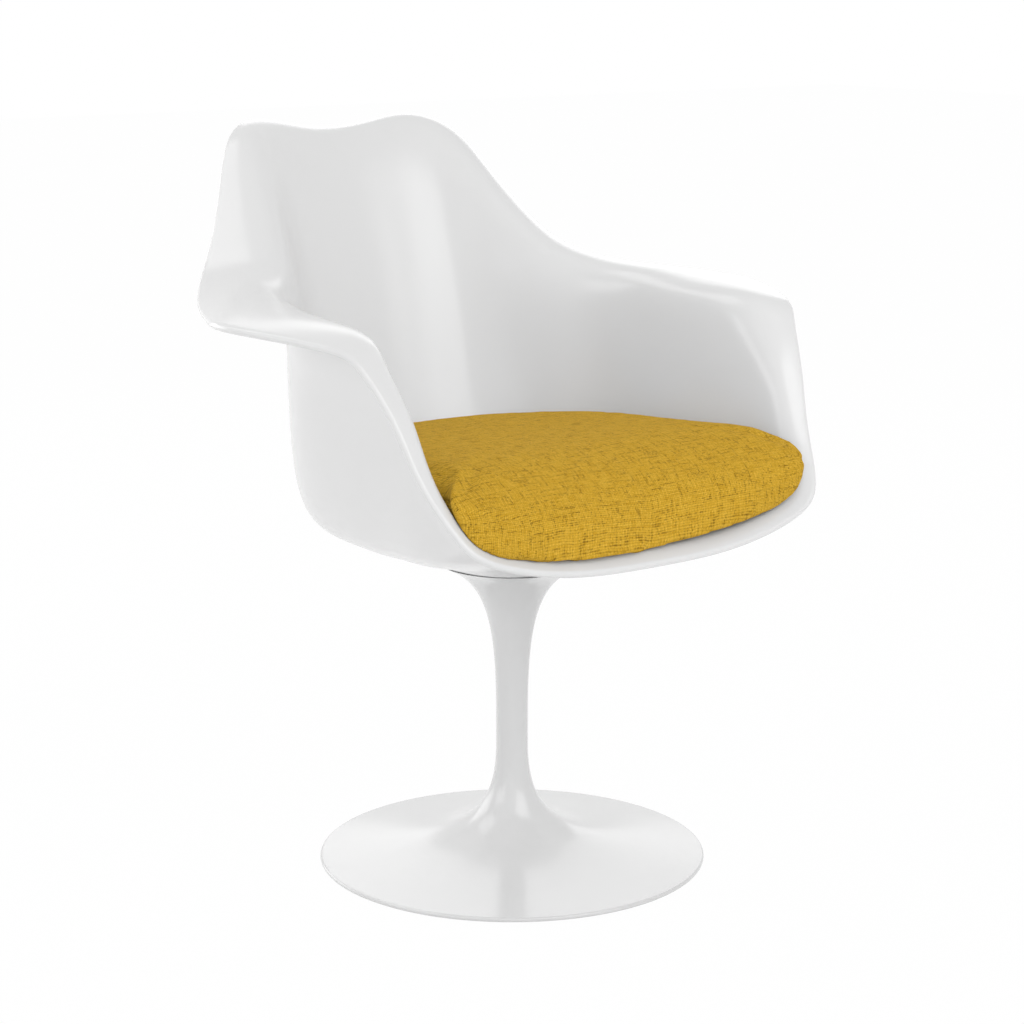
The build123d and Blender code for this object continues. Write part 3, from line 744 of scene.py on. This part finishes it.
smooth.factor = 0.5
smooth.iterations = 3
fine = cushion.modifiers.new("fine", "SUBSURF")
fine.levels = 1
fine.render_levels = 1
applied(cushion)
cushion.data.shade_smooth()


front_face, dart_inner, dart_tip = -0.195, 0.140, 0.222


def dart_line(x):
    """Height of the dart on the front face, falling from the corner's tip towards the middle."""
    return np.interp(np.abs(x), (dart_inner, dart_tip), (0.437, 0.456))


def sewn(mesh):
    """Draws the cover in along the seam round the sides and back and along the two darts."""
    seam_depth, seam_width, welt_rise, welt_out, welt_width = 0.0022, 0.0026, 0.0006, 0.006, 0.003
    points = mesh_points(mesh)
    normals = np.empty(len(mesh.vertices) * 3)
    mesh.vertices.foreach_get("normal", normals)
    normals = normals.reshape(-1, 3)
    x, y, z = points.T
    front = y < front_face
    far = np.where(front, np.abs(z - dart_line(x)), np.abs(z - seam_height_at(y)))
    fade = np.where(front, np.clip((np.abs(x) - dart_inner) / 0.035, 0, 1), 1.0)
    fade = fade * (z > 0.41) * np.clip(np.abs(y + 0.205) / 0.012 - 0.4, 0, 1)
    sunk = seam_depth * np.exp(-((far / seam_width) ** 2))
    welt = welt_rise * np.exp(-(((far - welt_out) / welt_width) ** 2))
    points -= normals * ((sunk - welt) * fade)[:, None]
    mesh.vertices.foreach_set("co", points.ravel())
    mesh.update()


sewn(cushion.data)


def cover_panels(mesh):
    """Threads of the cover, laid panel by panel: top and front, below the darts, sides, underside."""
    points = mesh_points(mesh)
    layer = mesh.uv_layers.new(name="threads")
    values = np.empty((len(mesh.loops), 2))
    for face in mesh.polygons:
        x, y, z = face.center
        side = z < seam_height_at(y) and y > front_face
        skirt = y < front_face and abs(x) > dart_inner and z < dart_line(x)
        for loop in face.loop_indices:
            x, y, z = points[mesh.loops[loop].vertex_index]
            if face.normal.z < -0.8:
                values[loop] = (x, y)
            elif side:
                values[loop] = (math.atan2(x, -y) * 0.24, z)
            elif skirt:
                values[loop] = (x, z * 1.3)
            else:
                values[loop] = (x, y + (z - 0.47) * 0.75)
    layer.data.foreach_set("uv", values.ravel())


cover_panels(cushion.data)
mustard, shader = new_finish("mustard_weave", (0.60, 0.36, 0.03), 0.9)
weave_pitch = 0.0021
count = thread_count(mustard, "UV", weave_pitch)
thread, over, hole = woven(mustard, count)


def streaks(scale, detail):
    """Uneven spinning along the threads."""
    stretched = add_node(mustard, "ShaderNodeMapping")
    stretched.inputs["Scale"].default_value = scale
    wire(mustard, count, stretched.inputs["Vector"])
    noise = add_node(mustard, "ShaderNodeTexNoise", Scale=1.0, Detail=detail, Roughness=0.6)
    wire(mustard, stretched.outputs["Vector"], noise.inputs["Vector"])
    return noise.outputs["Fac"]


def ranged(value, low, high):
    """Stretches a part of a range to 0 and 1."""
    node = add_node(mustard, "ShaderNodeMapRange")
    node.inputs["From Min"].default_value = low
    node.inputs["From Max"].default_value = high
    wire(mustard, value, node.inputs["Value"])
    return node.outputs["Result"]


slub = add_node(mustard, "ShaderNodeMix", data_type="FLOAT")
wire(mustard, over, slub.inputs["Factor"])
wire(mustard, streaks((1.0, 0.12, 1.0), 2.0), slub.inputs["A"])
wire(mustard, streaks((0.12, 1.0, 1.0), 2.0), slub.inputs["B"])
yarn = blend(mustard, ranged(slub.outputs["Result"], 0.3, 0.7), (0.62, 0.345, 0.019), (0.86, 0.535, 0.062))
# threads darker towards their edges, where they dip under each other: painted shade
edges = calc(mustard, "MULTIPLY", ranged(thread, 0.6, 0.1), 0.45)
shaded = blend(mustard, edges, yarn, (0.24, 0.11, 0.004))
corner = add_node(mustard, "ShaderNodeVectorMath", operation="FLOOR")
halfway = add_node(mustard, "ShaderNodeVectorMath", operation="ADD")
halfway.inputs[1].default_value = (0.5, 0.5, 0.5)
wire(mustard, count, halfway.inputs[0])
wire(mustard, halfway.outputs["Vector"], corner.inputs[0])
chance = add_node(mustard, "ShaderNodeTexWhiteNoise", noise_dimensions="2D")
wire(mustard, corner.outputs["Vector"], chance.inputs["Vector"])
loose_across, loose_along = streaks((0.07, 0.6, 1.0), 2.0), streaks((0.6, 0.10, 1.0), 1.0)
loose = calc(mustard, "MAXIMUM", loose_across, calc(mustard, "SUBTRACT", loose_along, 0.03))
loose = calc(mustard, "MULTIPLY", ranged(loose, 0.49, 0.66), ranged(chance.outputs["Value"], 0.1, 0.8))
# holes that loose threads leave in the weave are painted near black: painted shade in the holes
gap = calc(mustard, "MULTIPLY", calc(mustard, "POWER", hole, 0.35), loose)
weave_color = blend(mustard, gap, shaded, (0.13, 0.06, 0.003))
# bounced light sees the cover as light grey instead of mustard: painted light that brightens the inside of
# the shell without a yellow cast
rays = add_node(mustard, "ShaderNodeLightPath")
bounce = blend(mustard, rays.outputs["Is Diffuse Ray"], weave_color, (0.75, 0.75, 0.75))
wire(mustard, bounce, shader.inputs["Base Color"])
raised(mustard, shader, calc(mustard, "MULTIPLY_ADD", gap, -0.8, thread), 0.0007)
shader.inputs["Specular IOR Level"].default_value = 0.1
cushion.data.materials.clear()
cushion.data.materials.append(mustard)
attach(cushion, "cushion")
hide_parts("cushion_foam", "cushion_top_panel", "cushion_under_panel")


# Cover's zip: two woven tapes sewn to the underside, with a row of moulded teeth
# and a plated slider with its pull.
zip_weave = tape_finish("mustard_zip_tape", (0.50, 0.31, 0.04), (0.24, 0.13, 0.012), 0.0008)
dress(["zip_tape"], zip_weave)
dress(["zip_teeth"], moulded("mustard_teeth", (0.52, 0.33, 0.05), (0.44, 0.27, 0.035), (0.3, 0.4)))
dress(["zip_slider"], plated("plated_slider", (0.60, 0.60, 0.57), (0.48, 0.48, 0.45), (0.25, 0.35)))


# Studio: white floor that is see-through from below, white surround, six soft screens round the chair,
# and the camera at the height and angle of a person who stands a few steps in front of its right arm.
floor_mesh = bpy.data.meshes.new("studio_floor")
floor_mesh.from_pydata([(-12, -12, 0), (12, -12, 0), (12, 12, 0), (-12, 12, 0)], [], [(0, 1, 2, 3)])
floor = bpy.data.objects.new("studio_floor", floor_mesh)
bpy.context.collection.objects.link(floor)
floor_white, shader = new_finish("studio_white", (0.9, 0.9, 0.9), 0.9)
rays = add_node(floor_white, "ShaderNodeLightPath")
bright = add_node(floor_white, "ShaderNodeEmission", Strength=1.0)
mixed = add_node(floor_white, "ShaderNodeMixShader")
seen = calc(floor_white, "MAXIMUM", rays.outputs["Is Camera Ray"], rays.outputs["Is Glossy Ray"])
seen = calc(floor_white, "MAXIMUM", seen, rays.outputs["Is Transmission Ray"])
wire(floor_white, calc(floor_white, "MULTIPLY", seen, 0.985), mixed.inputs["Fac"])
wire(floor_white, shader.outputs["BSDF"], mixed.inputs[1])
wire(floor_white, bright.outputs["Emission"], mixed.inputs[2])
sides = add_node(floor_white, "ShaderNodeNewGeometry")
clear = add_node(floor_white, "ShaderNodeBsdfTransparent")
one_sided = add_node(floor_white, "ShaderNodeMixShader")
wire(floor_white, sides.outputs["Backfacing"], one_sided.inputs["Fac"])
wire(floor_white, mixed.outputs["Shader"], one_sided.inputs[1])
wire(floor_white, clear.outputs["BSDF"], one_sided.inputs[2])
floor_out = floor_white.node_tree.nodes["Material Output"]
wire(floor_white, one_sided.outputs["Shader"], floor_out.inputs["Surface"])
floor_mesh.materials.append(floor_white)

world = bpy.data.worlds.new("studio_surround")
bpy.context.scene.world = world
world.use_nodes = True
sky = world.node_tree.nodes["Background"]
sky.inputs["Color"].default_value = (1, 1, 1, 1)
lit = add_node(world, "ShaderNodeLightPath")
seen = calc(world, "MAXIMUM", lit.outputs["Is Camera Ray"], lit.outputs["Is Glossy Ray"])
seen = calc(world, "MAXIMUM", seen, lit.outputs["Is Transmission Ray"])
strength = add_node(world, "ShaderNodeMapRange")
strength.inputs["To Min"].default_value = 0.50
strength.inputs["To Max"].default_value = 1.0
wire(world, seen, strength.inputs["Value"])
wire(world, strength.outputs["Result"], sky.inputs["Strength"])


def softbox(name, place, target, width, height, power):
    """Large soft light aimed at a point."""
    lamp = bpy.data.lights.new(name, "AREA")
    lamp.shape = "RECTANGLE"
    lamp.size = width
    lamp.size_y = height
    lamp.energy = power
    holder = bpy.data.objects.new(name, lamp)
    bpy.context.collection.objects.link(holder)
    holder.location = place
    holder.visible_camera = False
    holder.rotation_euler = (Vector(target) - Vector(place)).to_track_quat("-Z", "Y").to_euler()


softbox("front_screen", (-2.41, -2.68, 1.6), (0, 0, 0.6), 3.2, 2.6, 8)
softbox("right_strip", (0.35, -2.62, 2.1), (0, 0, 0.9), 2.4, 2.4, 38)
softbox("left_panel", (-2.60, 0.20, 1.1), (0, 0, 0.6), 2.0, 1.0, 10)
softbox("rear_low", (-0.96, 2.63, 0.9), (0, 0, 0.3), 2.0, 1.4, 15)
softbox("rear_top", (-1.16, 1.38, 2.65), (0, 0, 0.5), 1.6, 1.6, 11)
softbox("back_screen", (1.8, 2.15, 1.6), (0, 0, 0.6), 2.0, 2.0, 10)

camera_data = bpy.data.cameras.new("viewer")
camera_data.sensor_width = 36.0
camera_data.lens = 91.6
camera = bpy.data.objects.new("viewer", camera_data)
bpy.context.collection.objects.link(camera)
camera.location = (-1.65974, -2.20255, 0.98704)
camera.rotation_euler = (math.radians(90 - 12.2155), 0, math.radians(-37))
bpy.context.scene.camera = camera
bpy.context.scene.view_settings.view_transform = "Standard"
